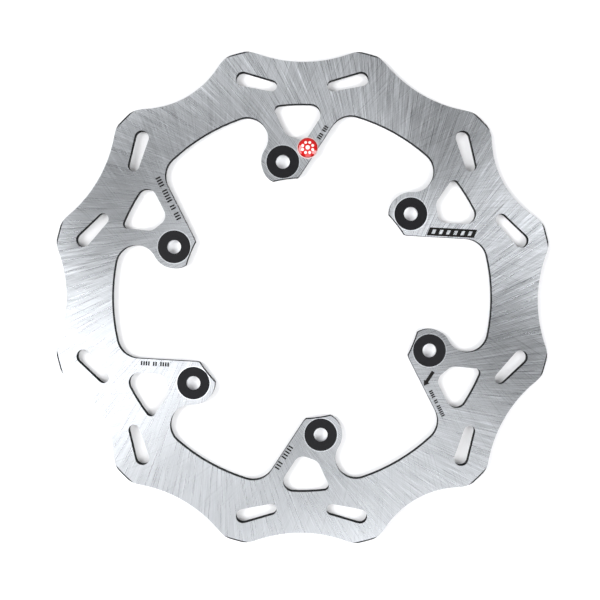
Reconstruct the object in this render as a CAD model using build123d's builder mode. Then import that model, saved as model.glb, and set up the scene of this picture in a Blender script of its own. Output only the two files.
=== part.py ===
"""Wave-edged motorcycle brake disc, one-piece rotor for six M6 bolts. Millimetres.

Frame: +Z is the disc's axle axis and points out of the front face. The origin is the disc's
centre on the back face, the face that seats against the hub. The valleys of the wavy rim lie
on multiples of 30 degrees from +X, and the four deep ones at 30, 120, 210 and 300 degrees.
"""

import os
from math import cos, radians, sin, sqrt

from build123d import *

# ---- the plate ------------------------------------------------------------------------------
THICKNESS = 4.0
OUTER_D = 240.0             # the turned circle that trims the petal tips
RIM_CHAMFER = 0.5           # on the trimmed tips, both faces
RING_BORE_D = 180.6         # inside of the friction ring
HUB_BORE_D = 115.0          # inside ends of the six lugs, which centre the disc on the hub

# ---- the wavy rim ---------------------------------------------------------------------------
PETALS = 12
PETAL_STEP = 360 / PETALS
NOSE_R = 15.0               # round nose of every petal
NOSE_CENTRE_R = 105.35      # from the disc's axis to the nose's centre
VALLEY_R = 111.9            # from the axis to the bottom of a shallow valley
DEEP_VALLEY_R = 110.0       # the same, at the four deep valleys
DEEP_EVERY = 3              # every third valley is a deep one
FIRST_DEEP = 1              # the first deep valley is one petal on from +X

# ---- the six lugs ---------------------------------------------------------------------------
LUGS = 6
LUG_STEP = 360 / LUGS
LUG_ANGLE = 38.2            # the first lug's bolt hole, from +X
BOLT_CIRCLE_D = 131.0
BOLT_HOLE_D = 6.6           # medium clearance for M6
LUG_HEAD_R = 10.25          # round head of a lug, about its bolt hole
LUG_BACK_FILLET = 10.0      # from the lug's curved flank into the ring bore
LUG_ARM_ANGLE = 48.9        # slope of the lug's straight flank, with the lug pointing up
LUG_ARM_FILLET = 10.6       # from the straight flank into the ring bore
LUG_ROOT = 1.5              # how far a lug is drawn into the ring, so that the two are one

# ---- the window in each lug, with the lug pointing up ---------------------------------------
WINDOW_TOP_R = 92.3         # its outer side is an arc about the disc's axis
WINDOW_SIDE = (1.2, 84.0, 107.3)        # a point on the inner side, and its slope
WINDOW_FLOOR = (5.0, 76.9, 151.6)       # the same for the side over the bolt hole
WEB_WIDTH = 6.75            # between the window and the lug's straight flank
WINDOW_TOP_FILLET = 2.4
WINDOW_SIDE_FILLET = 5.0
WINDOW_FLOOR_FILLET = 4.6
WINDOW_OUTER_FILLET = 4.85

# ---- the tapered slots, one pair to each lug ------------------------------------------------
PAIR_ANGLE = 30.2           # middle of the first pair, from +X
SLOT_WIDE_R = 3.4
SLOT_NARROW_R = 2.7
SLOT_WIDE_AT = (107.65, 15.05)           # distance from the axis, angle from the pair's middle
SLOT_NARROW_AT = (101.8, 8.25)

# ---- the seat rings under the bolt heads ----------------------------------------------------
SEAT_RING_D = 15.5
SEAT_RING_T = 1.0
SEAT_GAP = 0.05             # all round, between a seat ring and its counterbore

# ---- the domed badge ------------------------------------------------------------------------
BADGE_AT = (2.4, 71.4)      # on the second lug
BADGE_D = 10.0
BADGE_FOIL_T = 0.15
BADGE_DOME_D = 9.4
BADGE_DOME_EDGE = 0.35      # height of the dome's upright edge
BADGE_DOME_H = 1.6          # height of its middle, above the foil

ORIGIN = Vector(0, 0)
BOLT_R = BOLT_CIRCLE_D / 2


def polar(radius, angle):
    """The point at this distance and angle from the disc's axis."""
    return Vector(radius * cos(radians(angle)), radius * sin(radians(angle)))


def on_circles(centre_a, radius_a, centre_b, radius_b, side):
    """Where two circles cross; side +1 is left of the way from a to b, and -1 right of it."""
    span = centre_b - centre_a
    along = (span.length**2 + radius_a**2 - radius_b**2) / (2 * span.length)
    across = sqrt(radius_a**2 - along**2)
    way = span.normalized()
    return centre_a + way * along + Vector(-way.Y, way.X) * side * across


def between(start, end, centre, radius):
    """The point of an arc about centre that lies halfway from start to end."""
    return centre + ((start + end) / 2 - centre).normalized() * radius


def crossing(line_a, line_b):
    """Where two lines cross, each given as x, y and slope in degrees."""
    way_a = polar(1, line_a[2])
    way_b = polar(1, line_b[2])
    gap = Vector(line_b[0] - line_a[0], line_b[1] - line_a[1])
    run = (gap.X * way_b.Y - gap.Y * way_b.X) / (way_a.X * way_b.Y - way_a.Y * way_b.X)
    return Vector(line_a[0], line_a[1]) + way_a * run


def meets_arc(line, radius):
    """Where a line, given as x, y and slope, leaves the circle of this radius about the axis."""
    start = Vector(line[0], line[1])
    way = polar(1, line[2])
    inward = start.dot(way)
    return start + way * (sqrt(inward**2 + radius**2 - start.length**2) - inward)


# ---- profiles -------------------------------------------------------------------------------
# Each valley is an arc that touches the round noses on both sides of it. Its centre is outside
# the rim, on the valley's own angle, and follows from the valley's bottom and the touch.
nose_x = NOSE_CENTRE_R * cos(radians(PETAL_STEP / 2))
nose_y = NOSE_CENTRE_R * sin(radians(PETAL_STEP / 2))


def valley_bottom(index):
    """Distance from the axis to the bottom of this valley, counted from +X."""
    return DEEP_VALLEY_R if index % DEEP_EVERY == FIRST_DEEP else VALLEY_R


def valley_arc_radius(bottom):
    """Radius of the valley whose bottom is this far from the axis."""
    rise = bottom - nose_x
    return (nose_y**2 + rise**2 - NOSE_R**2) / (2 * (NOSE_R - rise))


with BuildSketch() as wave:
    with BuildLine():
        for i in range(PETALS):
            bottom = valley_bottom(i)
            next_bottom = valley_bottom(i + 1)
            valley_angle = i * PETAL_STEP
            valley_centre = polar(bottom + valley_arc_radius(bottom), valley_angle)
            next_centre = polar(next_bottom + valley_arc_radius(next_bottom), valley_angle + PETAL_STEP)
            last_nose = polar(NOSE_CENTRE_R, valley_angle - PETAL_STEP / 2)
            nose = polar(NOSE_CENTRE_R, valley_angle + PETAL_STEP / 2)
            valley_start = last_nose + (valley_centre - last_nose).normalized() * NOSE_R
            valley_end = nose + (valley_centre - nose).normalized() * NOSE_R
            nose_end = nose + (next_centre - nose).normalized() * NOSE_R
            nose_tip = polar(NOSE_CENTRE_R + NOSE_R, valley_angle + PETAL_STEP / 2)
            ThreePointArc(valley_start, polar(bottom, valley_angle), valley_end)
            ThreePointArc(valley_end, nose_tip, nose_end)
    make_face()

# A lug, pointing up. Its head is round about the bolt hole. The left flank is one arc that
# touches the head and the ring bore. The right flank is a straight line that touches the head.
bolt_centre = Vector(0, BOLT_R)
arm_way = polar(1, LUG_ARM_ANGLE)
arm_out = polar(1, LUG_ARM_ANGLE - 90)
ring_bore_r = RING_BORE_D / 2
root_r = ring_bore_r + LUG_ROOT

back_centre = on_circles(
    ORIGIN, ring_bore_r - LUG_BACK_FILLET, bolt_centre, LUG_HEAD_R + LUG_BACK_FILLET, 1
)
back_on_ring = back_centre.normalized() * ring_bore_r
back_on_head = bolt_centre + (back_centre - bolt_centre).normalized() * LUG_HEAD_R
arm_on_head = bolt_centre + arm_out * LUG_HEAD_R

arm_offset = arm_on_head.dot(arm_out) + LUG_ARM_FILLET
arm_fillet_r = ring_bore_r - LUG_ARM_FILLET
arm_centre = arm_out * arm_offset + arm_way * sqrt(arm_fillet_r**2 - arm_offset**2)
arm_on_ring = arm_centre.normalized() * ring_bore_r
arm_end = arm_centre - arm_out * LUG_ARM_FILLET

with BuildSketch() as lug:
    with BuildLine():
        back_fillet_mid = between(back_on_ring, back_on_head, back_centre, LUG_BACK_FILLET)
        arm_fillet_mid = between(arm_end, arm_on_ring, arm_centre, LUG_ARM_FILLET)
        root_left = back_on_ring.normalized() * root_r
        root_right = arm_on_ring.normalized() * root_r
        ThreePointArc(back_on_ring, back_fillet_mid, back_on_head)
        ThreePointArc(back_on_head, bolt_centre + Vector(0, -LUG_HEAD_R), arm_on_head)
        Line(arm_on_head, arm_end)
        ThreePointArc(arm_end, arm_fillet_mid, arm_on_ring)
        Line(arm_on_ring, root_right)
        ThreePointArc(root_right, between(root_left, root_right, ORIGIN, root_r), root_left)
        Line(root_left, back_on_ring)
    make_face()

# The window: an outer arc and three straight sides, with round corners. Its last side runs
# beside the lug's straight flank.
web_point = arm_on_head - arm_out * WEB_WIDTH
window_arm = (web_point.X, web_point.Y, LUG_ARM_ANGLE)
window_top_left = meets_arc(WINDOW_SIDE, WINDOW_TOP_R)
window_low_left = crossing(WINDOW_SIDE, WINDOW_FLOOR)
window_bottom = crossing(WINDOW_FLOOR, window_arm)
window_top_right = meets_arc(window_arm, WINDOW_TOP_R)

with BuildSketch() as window:
    with BuildLine():
        window_top_mid = between(window_top_right, window_top_left, ORIGIN, WINDOW_TOP_R)
        Polyline(window_top_left, window_low_left, window_bottom, window_top_right)
        ThreePointArc(window_top_right, window_top_mid, window_top_left)
    make_face()
    corners = [
        (window_top_left, WINDOW_TOP_FILLET),
        (window_low_left, WINDOW_SIDE_FILLET),
        (window_bottom, WINDOW_FLOOR_FILLET),
        (window_top_right, WINDOW_OUTER_FILLET),
    ]
    for corner, corner_r in corners:
        fillet(window.vertices().sort_by_distance(corner)[0], corner_r)

# One pair of slots, with its middle on +X. Each slot is wide at the petal and narrow inward.
with BuildSketch() as slot_pair:
    for side in (-1, 1):
        with BuildSketch(mode=Mode.ADD):
            with Locations(polar(SLOT_WIDE_AT[0], side * SLOT_WIDE_AT[1])):
                Circle(SLOT_WIDE_R)
            with Locations(polar(SLOT_NARROW_AT[0], side * SLOT_NARROW_AT[1])):
                Circle(SLOT_NARROW_R)
            make_hull()

# ---- brake disc -----------------------------------------------------------------------------
# The wave is cut from a round blank whose two edges are chamfered, so only the petal tips
# carry the chamfer.
with BuildPart() as brake_disc:
    with BuildSketch():
        add(wave.sketch)
        Circle(ring_bore_r, mode=Mode.SUBTRACT)
        with PolarLocations(0, LUGS, start_angle=LUG_ANGLE - 90):
            add(lug.sketch)
        Circle(HUB_BORE_D / 2, mode=Mode.SUBTRACT)
        with PolarLocations(0, LUGS, start_angle=LUG_ANGLE - 90):
            add(window.sketch, mode=Mode.SUBTRACT)
        with PolarLocations(0, LUGS, start_angle=PAIR_ANGLE):
            add(slot_pair.sketch, mode=Mode.SUBTRACT)
        with PolarLocations(BOLT_R, LUGS, start_angle=LUG_ANGLE):
            Circle(BOLT_HOLE_D / 2, mode=Mode.SUBTRACT)
    extrude(amount=THICKNESS)
    with BuildSketch(Plane.XZ):
        with BuildLine():
            tip_r = OUTER_D / 2
            Polyline(
                (0, 0),
                (tip_r - RIM_CHAMFER, 0),
                (tip_r, RIM_CHAMFER),
                (tip_r, THICKNESS - RIM_CHAMFER),
                (tip_r - RIM_CHAMFER, THICKNESS),
                (0, THICKNESS),
                close=True,
            )
        make_face()
    revolve(axis=Axis.Z, mode=Mode.INTERSECT)
    with BuildSketch(Plane.XY.offset(THICKNESS)):
        with PolarLocations(BOLT_R, LUGS, start_angle=LUG_ANGLE):
            Circle(SEAT_RING_D / 2 + SEAT_GAP)
    extrude(amount=-SEAT_RING_T, mode=Mode.SUBTRACT)

# ---- seat rings, flush with the front face --------------------------------------------------
seat_rings = []
for i in range(LUGS):
    with BuildPart() as seat_ring:
        with BuildSketch(Plane.XY.offset(THICKNESS - SEAT_RING_T)):
            with Locations(polar(BOLT_R, LUG_ANGLE + i * LUG_STEP)):
                Circle(SEAT_RING_D / 2)
                Circle(BOLT_HOLE_D / 2, mode=Mode.SUBTRACT)
        extrude(amount=SEAT_RING_T)
    seat_ring.part.label = f"seat_ring_{i + 1}"
    seat_rings.append(seat_ring.part)

# ---- badge: a printed foil, and the clear dome cast on it -----------------------------------
with BuildPart() as badge_foil:
    with BuildSketch(Plane.XY.offset(THICKNESS)):
        with Locations(BADGE_AT):
            Circle(BADGE_D / 2)
    extrude(amount=BADGE_FOIL_T)

badge_plane = Plane(origin=(*BADGE_AT, THICKNESS + BADGE_FOIL_T), x_dir=(1, 0, 0), z_dir=(0, -1, 0))
with BuildPart() as badge_dome:
    with BuildSketch(badge_plane):
        with BuildLine():
            dome_r = BADGE_DOME_D / 2
            Polyline((0, BADGE_DOME_H), (0, 0), (dome_r, 0), (dome_r, BADGE_DOME_EDGE))
            TangentArc((0, BADGE_DOME_H), (dome_r, BADGE_DOME_EDGE), tangent=(1, 0))
        make_face()
    revolve(axis=Axis((*BADGE_AT, 0), (0, 0, 1)))

brake_disc.part.label = "brake_disc"
badge_foil.part.label = "badge_foil"
badge_dome.part.label = "badge_dome"

os.makedirs("parts", exist_ok=True)
export_step(brake_disc.part, "parts/brake_disc.step")
for ring in seat_rings:
    export_step(ring, f"parts/{ring.label}.step")
export_step(badge_foil.part, "parts/badge_foil.step")
export_step(badge_dome.part, "parts/badge_dome.step")
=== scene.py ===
"""Looks for the wave-edged brake disc: ground steel, black seat rings, badge, laser marks."""

import math

import bmesh
import bpy
from mathutils import Matrix, Vector


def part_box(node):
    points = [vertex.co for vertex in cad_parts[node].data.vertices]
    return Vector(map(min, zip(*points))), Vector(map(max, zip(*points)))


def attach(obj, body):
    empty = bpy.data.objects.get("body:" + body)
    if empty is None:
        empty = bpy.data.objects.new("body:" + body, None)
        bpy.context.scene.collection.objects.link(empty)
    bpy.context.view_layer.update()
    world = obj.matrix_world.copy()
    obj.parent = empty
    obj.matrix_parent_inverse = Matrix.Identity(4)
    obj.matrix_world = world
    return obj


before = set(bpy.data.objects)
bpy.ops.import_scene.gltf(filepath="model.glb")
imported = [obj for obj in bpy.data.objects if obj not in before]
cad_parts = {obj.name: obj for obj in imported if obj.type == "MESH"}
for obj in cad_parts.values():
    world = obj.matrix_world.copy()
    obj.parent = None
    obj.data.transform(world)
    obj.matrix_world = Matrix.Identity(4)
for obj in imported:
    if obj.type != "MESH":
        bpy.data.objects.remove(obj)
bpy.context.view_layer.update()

MM = 0.001

# ---- places, read from the frame ------------------------------------------------------------
low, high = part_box("brake_disc")
FACE_Z = high.z
LUGS = 6


def middle(node):
    """Centre of a node's box."""
    node_low, node_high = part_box(node)
    return (node_low + node_high) / 2


first_seat = middle("seat_ring_1")
BOLT_CIRCLE_R = math.hypot(first_seat.x, first_seat.y) / MM
FIRST_LUG = math.atan2(first_seat.y, first_seat.x)
LUG_STEP = math.tau / LUGS
SEAT_R = (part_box("seat_ring_1")[1].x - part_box("seat_ring_1")[0].x) / 2 / MM
BADGE_AT = middle("badge_dome") / MM
dome_low, dome_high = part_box("badge_dome")
DOME_R = (dome_high.x - dome_low.x) / 2 / MM


# ---- node helpers ---------------------------------------------------------------------------
class Shader:
    """A material's node tree, with short calls for the nodes that the materials below use."""

    def __init__(self, name):
        self.material = bpy.data.materials.new(name)
        self.material.use_nodes = True
        self.nodes = self.material.node_tree.nodes
        self.links = self.material.node_tree.links
        self.nodes.clear()
        self.output = self.nodes.new("ShaderNodeOutputMaterial")

    def put(self, socket, value):
        """Links a socket to another, or sets it to a number, colour or vector."""
        if isinstance(value, bpy.types.NodeSocket):
            self.links.new(value, socket)
        else:
            socket.default_value = value

    def principled(self, **inputs):
        """A Principled BSDF; underscores in the names stand for spaces."""
        node = self.nodes.new("ShaderNodeBsdfPrincipled")
        for name, value in inputs.items():
            self.put(node.inputs[name.replace("_", " ")], value)
        return node

    def position(self):
        """The point in the row frame, in millimetres."""
        coordinates = self.nodes.new("ShaderNodeTexCoord").outputs["Object"]
        scale = self.nodes.new("ShaderNodeVectorMath")
        scale.operation = "SCALE"
        self.put(scale.inputs[0], coordinates)
        scale.inputs["Scale"].default_value = 1 / MM
        return scale.outputs[0]

    def math(self, operation, a, b=None, c=None):
        node = self.nodes.new("ShaderNodeMath")
        node.operation = operation
        for socket, value in zip(node.inputs, (a, b, c)):
            if value is not None:
                self.put(socket, value)
        return node.outputs[0]

    def split(self, vector):
        node = self.nodes.new("ShaderNodeSeparateXYZ")
        self.put(node.inputs[0], vector)
        return node.outputs[0], node.outputs[1], node.outputs[2]

    def join(self, x, y, z):
        node = self.nodes.new("ShaderNodeCombineXYZ")
        for socket, value in zip(node.inputs, (x, y, z)):
            self.put(socket, value)
        return node.outputs[0]

    def distance(self, x, y):
        """Length of the vector (x, y)."""
        return self.math("SQRT", self.math("ADD", self.math("MULTIPLY", x, x), self.math("MULTIPLY", y, y)))

    def noise(self, vector, scale=1.0, detail=2.0):
        node = self.nodes.new("ShaderNodeTexNoise")
        self.put(node.inputs["Vector"], vector)
        node.inputs["Scale"].default_value = scale
        node.inputs["Detail"].default_value = detail
        return node.outputs["Fac"]

    def ramp(self, value, low_in, high_in, low_out=0.0, high_out=1.0):
        """Maps a number from one range to another, and holds it at the ends."""
        node = self.nodes.new("ShaderNodeMapRange")
        for socket, part in zip(node.inputs, (value, low_in, high_in, low_out, high_out)):
            self.put(socket, part)
        return node.outputs[0]

    def mix_colour(self, share, a, b):
        node = self.nodes.new("ShaderNodeMix")
        node.data_type = "RGBA"
        colour_inputs = [socket for socket in node.inputs if socket.type == "RGBA"]
        self.put(node.inputs["Factor"], share)
        self.put(colour_inputs[0], a)
        self.put(colour_inputs[1], b)
        return next(socket for socket in node.outputs if socket.type == "RGBA")

    def mix_shader(self, share, a, b):
        node = self.nodes.new("ShaderNodeMixShader")
        self.put(node.inputs[0], share)
        self.put(node.inputs[1], a.outputs[0])
        self.put(node.inputs[2], b.outputs[0])
        return node

    def bump(self, height, distance):
        node = self.nodes.new("ShaderNodeBump")
        self.put(node.inputs["Height"], height)
        node.inputs["Distance"].default_value = distance
        return node.outputs[0]

    def finish(self, shader):
        self.links.new(shader.outputs[0], self.output.inputs["Surface"])
        return self.material


# ---- ground steel ---------------------------------------------------------------------------
# Two families of fine scratches cross the face. Every scratch is a straight line that passes
# the axle at the same distance, so it leans away from the radius. The second family is fainter
# and leans the other way. The noise behind them is sampled by a scratch's own angle and by the
# radius, so it is drawn out along the scratch.
#
# How much the scratches stand out changes across the disc. This is a matched look and painted
# light: the scratches fade where the lamps light the disc brightest. The thin dark line along the
# petal tips is painted shade and the thin bright line round the seat rings a painted highlight.
SCRATCH_OFFSET = 39.5             # from the axle to the line of every scratch
CLEAREST = math.radians(48)       # the scratches stand out most on this side; painted light, they fade where the light is brightest
CLEAR_SPAN = (-90.0, 60.0)        # along that direction, from the faintest to the clearest
STEEL_DARK = (0.293, 0.304, 0.320, 1)
STEEL_LIGHT = (0.530, 0.549, 0.577, 1)
STEEL_GLINT = (0.700, 0.725, 0.762, 1)
TIP_R = 120.0                     # the turned circle that trims the petal tips
TIP_LINE = 0.85                   # width of the painted shade line along it, over the chamfer
TIP_LINE_FADE = 0.1
SEAT_LINE = (0.25, 0.55)          # the painted highlight round a seat ring fades out between these
SEAT_LINE_GLINT = 0.9
FRONT_ONLY = (3.0, 3.5)           # heights over which it sets in, so the back has none
FLAT = (0.80, 0.90)               # upright part of the normal: wall below these, face above

RIB_WIDTH = 0.5
RIB_LENGTH = 8.0
PALE_WALL = (0.6, 2.4)            # heights between which a cut wall turns from pale to dark
LUG_END_R = (58.0, 59.0)          # walls inside this radius are dark all the way down
REAMED_R = (4.0, 4.5)             # the bolt hole's wall lies inside this, every cut wall outside


def scratch_family(s, x, y, side):
    """Own angle, radius and direction of the scratch at this point."""
    radius = s.math("MAXIMUM", s.distance(x, y), SCRATCH_OFFSET + 1)
    angle = s.math("ARCTAN2", y, x)
    share = s.math("DIVIDE", SCRATCH_OFFSET, radius)
    own = s.math("MULTIPLY_ADD", s.math("ARCCOSINE", share), -side, angle)
    direction = s.math("MULTIPLY_ADD", s.math("ARCSINE", share), side, angle)
    return own, radius, direction


def streaks(s, family, fineness, length):
    """Noise drawn out along the scratches: fineness in streaks per radian, length in mm."""
    own, radius, _ = family
    across_x = s.math("MULTIPLY", s.math("COSINE", own), fineness)
    across_y = s.math("MULTIPLY", s.math("SINE", own), fineness)
    return s.noise(s.join(across_x, across_y, s.math("DIVIDE", radius, length)), detail=1.0)


def ground_face(s, family, grain, strength, seat_highlight):
    """Metal whose highlight runs across the scratches of one family, lightened by painted glints along some
    scratches and by the painted highlight round the seat rings.
    """
    fine = streaks(s, family, 400.0, 12.0)
    medium = streaks(s, family, 210.0, 20.0)
    broad = streaks(s, family, 60.0, 50.0)
    tone = s.math("MULTIPLY_ADD", medium, 0.30, s.math("MULTIPLY", fine, 0.60))
    tone = s.math("MULTIPLY_ADD", broad, 0.10, tone)
    tone = s.ramp(s.math("MULTIPLY_ADD", grain, 0.15, tone), 0.455, 0.695, -0.5, 0.5)
    tone = s.math("MULTIPLY_ADD", tone, strength, 0.5)
    glint = s.math("MULTIPLY", s.ramp(streaks(s, family, 250.0, 14.0), 0.60, 0.74), strength)
    glint = s.math("MAXIMUM", glint, seat_highlight)
    turn = s.ramp(fine, 0.3, 0.7, -0.16, 0.16)
    across = s.math("ADD", s.math("ADD", family[2], turn), math.pi / 2)
    steel = s.mix_colour(tone, STEEL_DARK, STEEL_LIGHT)
    return s.principled(
        Base_Color=s.mix_colour(glint, steel, STEEL_GLINT),
        Metallic=1.0,
        Roughness=s.ramp(medium, 0.35, 0.65, 0.27, 0.33),
        Anisotropic=0.9,
        Tangent=s.join(s.math("COSINE", across), s.math("SINE", across), 0.0),
    )


def lug_distance(s, x, y):
    """Distance to the nearest bolt hole's axis, with the six lugs folded onto one."""
    angle = s.math("SUBTRACT", s.math("ARCTAN2", y, x), FIRST_LUG - LUG_STEP / 2)
    folded = s.math("SUBTRACT", s.math("FLOORED_MODULO", angle, LUG_STEP), LUG_STEP / 2)
    radius = s.distance(x, y)
    along = s.math("MULTIPLY", radius, s.math("COSINE", folded))
    aside = s.math("MULTIPLY", radius, s.math("SINE", folded))
    return s.distance(s.math("SUBTRACT", along, BOLT_CIRCLE_R), aside)


def cut_wall(s, x, y, z):
    """Dark edge with fine upright ribs, paler low down but not on the lug ends.

    The bolt holes are bright metal.
    """
    across_x = s.math("DIVIDE", x, RIB_WIDTH)
    across_y = s.math("DIVIDE", y, RIB_WIDTH)
    ribs = s.noise(s.join(across_x, across_y, s.math("DIVIDE", z, RIB_LENGTH)))
    upper = s.mix_colour(ribs, (0.008, 0.008, 0.009, 1), (0.024, 0.025, 0.027, 1))
    lower = s.mix_colour(ribs, (0.035, 0.036, 0.038, 1), (0.080, 0.083, 0.087, 1))
    on_lug_end = s.ramp(s.distance(x, y), *LUG_END_R, 1.0, 0.0)
    cut = s.mix_colour(s.math("MAXIMUM", s.ramp(z, *PALE_WALL), on_lug_end), lower, upper)
    reamed = s.ramp(lug_distance(s, x, y), *REAMED_R, 1.0, 0.0)
    return s.principled(
        Base_Color=s.mix_colour(reamed, cut, (0.62, 0.63, 0.65, 1)),
        Metallic=reamed,
        Roughness=s.ramp(reamed, 0.0, 1.0, 0.5, 0.3),
        Specular_IOR_Level=0.0,
        Normal=s.bump(ribs, 0.03 * MM),
    )


def ground_steel():
    """The face where the surface lies flat, and cut walls where it doesn't.

    The scratches stand out most towards CLEAREST and least on the opposite side, as painted light.
    A thin painted highlight runs round each seat ring, and a thin painted shade line along the petal tips.
    """
    s = Shader("ground_steel")
    x, y, z = s.split(s.position())
    # painted light: the scratch contrast and the cross family's share fade on the brightly lit side
    towards = s.math("MULTIPLY_ADD", x, math.cos(CLEAREST), s.math("MULTIPLY", y, math.sin(CLEAREST)))
    strength = s.ramp(towards, *CLEAR_SPAN, 0.3, 1.1)
    main = scratch_family(s, x, y, 1.0)
    cross = scratch_family(s, x, y, -1.0)
    cross_share = s.ramp(streaks(s, cross, 240.0, 20.0), 0.35, 0.65, 0.12, 0.31)
    cross_share = s.math("MULTIPLY", cross_share, s.ramp(towards, *CLEAR_SPAN, 0.55, 1.05))
    grain = s.noise(s.position(), scale=2.5, detail=0.0)
    # painted highlight: a thin bright line round each seat ring, on the front face only
    from_seat = s.math("SUBTRACT", lug_distance(s, x, y), SEAT_R)
    seat_highlight = s.math(
        "MULTIPLY",
        s.ramp(from_seat, *SEAT_LINE, SEAT_LINE_GLINT, 0.0),
        s.ramp(z, *FRONT_ONLY),
    )
    face = s.mix_shader(
        cross_share,
        ground_face(s, main, grain, strength, seat_highlight),
        ground_face(s, cross, grain, strength, seat_highlight),
    )
    geometry = s.nodes.new("ShaderNodeNewGeometry")
    normal_z = s.split(geometry.outputs["Normal"])[2]
    # painted shade: the dark cut-wall look is laid over the face along the petal tips
    line_from = TIP_R - TIP_LINE
    flat = s.math(
        "MULTIPLY",
        s.ramp(s.math("ABSOLUTE", normal_z), *FLAT),
        s.ramp(s.distance(x, y), line_from, line_from + TIP_LINE_FADE, 1.0, 0.0),
    )
    return s.finish(s.mix_shader(flat, cut_wall(s, x, y, z), face))


# ---- black rings ----------------------------------------------------------------------------
def black_oxide():
    """Black ring with faint turned rings round the hole, and a little mottling."""
    s = Shader("black_oxide")
    x, y, _ = s.split(s.position())
    rings = s.noise(s.join(s.math("MULTIPLY", lug_distance(s, x, y), 6.0), 0.0, 0.0))
    mottle = s.noise(s.position(), scale=0.8, detail=4.0)
    return s.finish(s.principled(
        Base_Color=s.mix_colour(mottle, (0.003, 0.003, 0.004, 1), (0.008, 0.008, 0.010, 1)),
        Roughness=s.ramp(s.math("ADD", rings, mottle), 0.7, 1.3, 0.38, 0.52),
        Specular_IOR_Level=0.15,
        Normal=s.bump(rings, 0.01 * MM),
    ))


# ---- badge ----------------------------------------------------------------------------------
DOT_STEP = math.tau / 8      # between the dots of the ring
DOT_RING_R = 2.55
DOT_R = 0.62
HUB_DOT_R = 0.95
DOT_EDGE = 0.08              # over which a dot fades out
DOME_EDGE_SHADE = 0.6               # width of the painted shade at the dome's edge


def badge_print():
    """The foil that the dome is cast on: its pale cut border shows round the dome."""
    s = Shader("badge_print")
    grain = s.noise(s.position(), scale=2.0)
    return s.finish(s.principled(
        Base_Color=s.mix_colour(grain, (0.80, 0.52, 0.50, 1), (0.88, 0.64, 0.62, 1)),
        Roughness=0.3,
    ))


def badge_resin():
    """Glossy red dome with a ring of white dots round a larger one, with painted shade at its edge."""
    s = Shader("badge_resin")
    x, y, _ = s.split(s.position())
    aside = s.math("SUBTRACT", x, BADGE_AT.x)
    along = s.math("SUBTRACT", y, BADGE_AT.y)
    radius = s.distance(aside, along)
    angle = s.math("ARCTAN2", along, aside)
    folded = s.math("SUBTRACT", s.math("FLOORED_MODULO", angle, DOT_STEP), DOT_STEP / 2)
    from_dot = s.distance(
        s.math("MULTIPLY_ADD", radius, s.math("COSINE", folded), -DOT_RING_R),
        s.math("MULTIPLY", radius, s.math("SINE", folded)),
    )
    dots = s.ramp(from_dot, DOT_R, DOT_R + DOT_EDGE, 1.0, 0.0)
    hub = s.ramp(radius, HUB_DOT_R, HUB_DOT_R + DOT_EDGE, 1.0, 0.0)
    # painted shade: the red darkens towards the dome's edge
    edge_shade = s.ramp(radius, DOME_R - DOME_EDGE_SHADE, DOME_R)
    red = s.mix_colour(s.noise(s.position(), scale=0.7), (0.40, 0.003, 0.004, 1), (0.50, 0.006, 0.006, 1))
    red = s.mix_colour(edge_shade, red, (0.08, 0.001, 0.002, 1))
    return s.finish(s.principled(
        Base_Color=s.mix_colour(s.math("MAXIMUM", dots, hub), red, (0.72, 0.70, 0.68, 1)),
        Roughness=0.5,
        Specular_IOR_Level=0.05,
        Coat_Weight=1.0,
        Coat_Roughness=0.03,
        Normal=s.bump(s.noise(s.position(), scale=0.5), 0.01 * MM),
    ))


# ---- laser marks ----------------------------------------------------------------------------
def etched_black():
    """Dull black marks, as a laser leaves them on steel."""
    s = Shader("etched_black")
    grain = s.noise(s.position(), scale=6.0, detail=3.0)
    return s.finish(s.principled(
        Base_Color=s.mix_colour(grain, (0.002, 0.002, 0.002, 1), (0.012, 0.011, 0.010, 1)),
        Roughness=s.ramp(grain, 0.3, 0.7, 0.55, 0.8),
        Specular_IOR_Level=0.1,
    ))


MARK_SUNK = 0.03      # how far a mark's underside lies below the face
MARK_PROUD = 0.01     # and its top above it
FLANK = 49            # direction of a lug's straight flank, in degrees, with the lug upright

mark_material = etched_black()


def mark_place(lug, x, y, turn):
    """Where a mark goes: x and y in mm on an upright lug, turn in degrees."""
    upright = Matrix.Rotation(FIRST_LUG + lug * LUG_STEP - math.pi / 2, 4, "Z")
    spot = Matrix.Translation(Vector((x * MM, y * MM, FACE_Z - MARK_SUNK * MM)))
    return upright @ spot @ Matrix.Rotation(math.radians(turn), 4, "Z")


def etch(name, polygons, place):
    """Thin closed piece from flat polygons in mm. Polygons that share corners become one."""
    shape = bmesh.new()
    for polygon in polygons:
        shape.faces.new([shape.verts.new((x * MM, y * MM, 0)) for x, y in polygon])
    bmesh.ops.remove_doubles(shape, verts=shape.verts, dist=0.001 * MM)
    raised = bmesh.ops.extrude_face_region(shape, geom=shape.faces[:], use_keep_orig=True)
    tops = [item for item in raised["geom"] if isinstance(item, bmesh.types.BMVert)]
    bmesh.ops.translate(shape, verts=tops, vec=(0, 0, (MARK_SUNK + MARK_PROUD) * MM))
    bmesh.ops.recalc_face_normals(shape, faces=shape.faces)
    bmesh.ops.transform(shape, matrix=place, verts=shape.verts)
    mesh = bpy.data.meshes.new(name)
    shape.to_mesh(mesh)
    shape.free()
    mesh.materials.append(mark_material)
    piece = bpy.data.objects.new(name, mesh)
    bpy.context.scene.collection.objects.link(piece)
    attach(piece, "root")
    return piece


def bar(centre, width, low_y, high_y):
    """An upright rectangle."""
    left, right = centre - width / 2, centre + width / 2
    return [(left, low_y), (right, low_y), (right, high_y), (left, high_y)]


def dashes(groups, pitch, width, height):
    """A centred row of equal upright bars in groups, with one left out between groups."""
    start = -pitch * (sum(groups) + len(groups) - 2) / 2
    row = []
    for i, count in enumerate(groups):
        first = start + pitch * (sum(groups[:i]) + i)
        row += [bar(first + j * pitch, width, -height / 2, height / 2) for j in range(count)]
    return row


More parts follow.
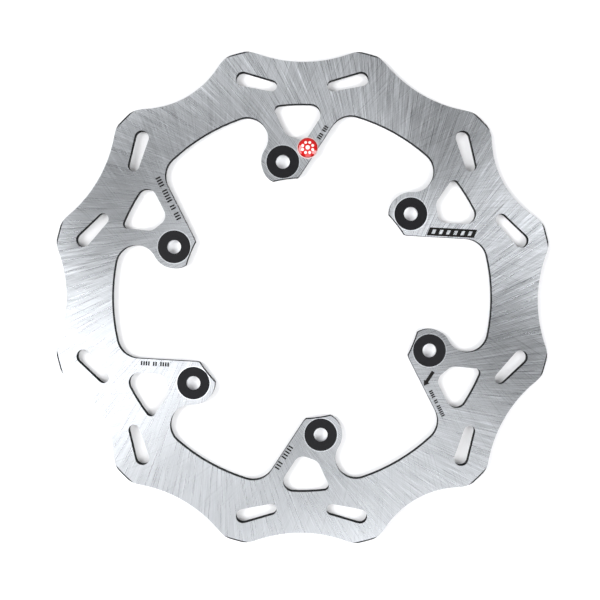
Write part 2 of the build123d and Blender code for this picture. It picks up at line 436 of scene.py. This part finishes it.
def striped_bar(length, height, rail, stripes, gap, slant):
    """A slanted black bar with pale stripes, where the steel shows through."""
    pitch = (length - gap) / stripes
    columns = [-length / 2]
    for i in range(stripes):
        columns += [columns[0] + gap + i * pitch, columns[0] + (i + 1) * pitch]
    columns.append(length / 2)
    rows = [-height / 2, -height / 2 + rail, height / 2 - rail, height / 2]
    cells = []
    for i, (left, right) in enumerate(zip(columns, columns[1:])):
        for j, (bottom, top) in enumerate(zip(rows, rows[1:])):
            if i % 2 and j == 1:
                continue
            corners = [(left, bottom), (right, bottom), (right, top), (left, top)]
            cells.append([(x + slant * y, y) for x, y in corners])
    return cells


def arrow(length, shaft, head_length, head_width):
    """An arrow that points along X."""
    neck = length / 2 - head_length
    return [[
        (-length / 2, -shaft / 2), (neck, -shaft / 2), (neck, -head_width / 2),
        (length / 2, 0), (neck, head_width / 2), (neck, shaft / 2), (-length / 2, shaft / 2),
    ]]


# ---- finishes onto the CAD pieces -----------------------------------------------------------
def paint(node, material):
    """Gives a CAD piece one material."""
    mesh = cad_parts[node].data
    mesh.materials.clear()
    mesh.materials.append(material)


def ease_edges(node, width):
    """Breaks the square edges of a CAD piece."""
    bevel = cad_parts[node].modifiers.new("eased_edges", "BEVEL")
    bevel.width = width
    bevel.segments = 2
    bevel.limit_method = "ANGLE"
    bevel.angle_limit = math.radians(60)


paint("brake_disc", ground_steel())
ease_edges("brake_disc", 0.07 * MM)
seat_material = black_oxide()
for i in range(LUGS):
    paint(f"seat_ring_{i + 1}", seat_material)
paint("badge_foil", badge_print())
paint("badge_dome", badge_resin())

# Rows of dashes: how many in each group, then their pitch, width and height.
stripes = striped_bar(length=22.5, height=3.9, rail=0.95, stripes=6, gap=1.9, slant=0.35)
etch("striped_mark", stripes, mark_place(0, 19.0, 75.4, FLANK))
etch("batch_mark", dashes((3, 3), 1.05, 0.74, 2.1), mark_place(1, 20.6, 76.6, FLANK))
etch("wear_mark", dashes((3, 2, 5, 4), 1.35, 0.75, 2.5), mark_place(2, 20.3, 76.6, FLANK))
etch("date_mark", dashes((4, 2, 4), 1.15, 0.76, 2.0), mark_place(3, 18.5, 74.3, FLANK))
etch("type_mark", dashes((5, 3), 1.5, 0.72, 2.5), mark_place(4, 18.9, 73.9, FLANK))
etch("origin_mark", dashes((4, 2, 6), 1.0, 0.68, 1.8), mark_place(5, 22.0, 78.3, FLANK))
turning = arrow(length=8.2, shaft=1.6, head_length=2.5, head_width=3.3)
etch("turning_arrow", turning, mark_place(5, 12.6, 70.2, -11))


# ---- camera ---------------------------------------------------------------------------------
# Straight above, a little off the axle and tilted by about one degree.
CAMERA_AT = Vector((1.33, 6.40, 388.87)) * MM
CAMERA_TURN = (math.radians(-1.046), math.radians(0.331), math.radians(0.296))
camera_data = bpy.data.cameras.new("camera")
camera_data.lens = 48.6
camera_data.sensor_width = 36
camera_data.clip_start = 0.01
camera = bpy.data.objects.new("camera", camera_data)
camera.location = CAMERA_AT
camera.rotation_euler = CAMERA_TURN
bpy.context.scene.collection.objects.link(camera)
bpy.context.scene.camera = camera


# ---- floor and light ------------------------------------------------------------------------
FLOOR_SIDE = 6            # metres
FLOOR_GAP = 0.02 * MM     # keeps the floor clear of the disc's back face


def floor():
    """Matt, nearly white ground under the disc."""
    s = Shader("floor")
    cloudy = s.noise(s.position(), scale=0.02)
    white = s.mix_colour(cloudy, (0.870, 0.876, 0.895, 1), (0.905, 0.908, 0.922, 1))
    face = s.principled(Base_Color=white, Roughness=0.9)
    bpy.ops.mesh.primitive_plane_add(size=FLOOR_SIDE, location=(0, 0, low.z - FLOOR_GAP))
    plane = bpy.context.object
    plane.name = "floor"
    plane.data.materials.append(s.finish(face))


def softbox(name, azimuth, elevation, side, power, distance=1.2):
    """A square soft light that looks at the disc: angles in degrees, lengths in metres, watts."""
    data = bpy.data.lights.new(name, "AREA")
    data.shape = "SQUARE"
    data.size = side
    data.energy = power
    light = bpy.data.objects.new(name, data)
    rise, round_z = math.radians(elevation), math.radians(azimuth)
    light.location = distance * Vector(
        (math.cos(rise) * math.cos(round_z), math.cos(rise) * math.sin(round_z), math.sin(rise))
    )
    light.rotation_euler = light.location.to_track_quat("Z", "Y").to_euler()
    bpy.context.scene.collection.objects.link(light)


def room(overhead, horizon, fade_from=0.35, fade_to=0.72):
    """Light from everywhere, brighter low down: from the side the steel mirrors something pale."""
    world = bpy.data.worlds.new("room")
    world.use_nodes = True
    nodes, links = world.node_tree.nodes, world.node_tree.links
    background = nodes["Background"]
    background.inputs["Color"].default_value = (1, 1, 1, 1)
    direction = nodes.new("ShaderNodeTexCoord")
    split = nodes.new("ShaderNodeSeparateXYZ")
    links.new(direction.outputs["Generated"], split.inputs[0])
    fade = nodes.new("ShaderNodeMapRange")
    fade.interpolation_type = "SMOOTHSTEP"
    fade.inputs["From Min"].default_value = fade_from
    fade.inputs["From Max"].default_value = fade_to
    fade.inputs["To Min"].default_value = horizon
    fade.inputs["To Max"].default_value = overhead
    links.new(split.outputs["Z"], fade.inputs["Value"])
    links.new(fade.outputs["Result"], background.inputs["Strength"])
    bpy.context.scene.world = world


# The lamps are placed so that the ring's light and dark sectors fall where they are wanted.
floor()
softbox("left", 166, 50, 0.58, 10.5)
softbox("right", 342, 48, 0.48, 7.9)
softbox("near", 275, 51, 0.68, 5.0)
softbox("overhead", 242, 85, 0.67, 1.85)
softbox("left_low", 196, 40, 0.44, 4.4)
softbox("far_right", 40, 60, 0.50, 0.6)
room(0.02, 1.0)
bpy.context.scene.view_settings.view_transform = "Standard"
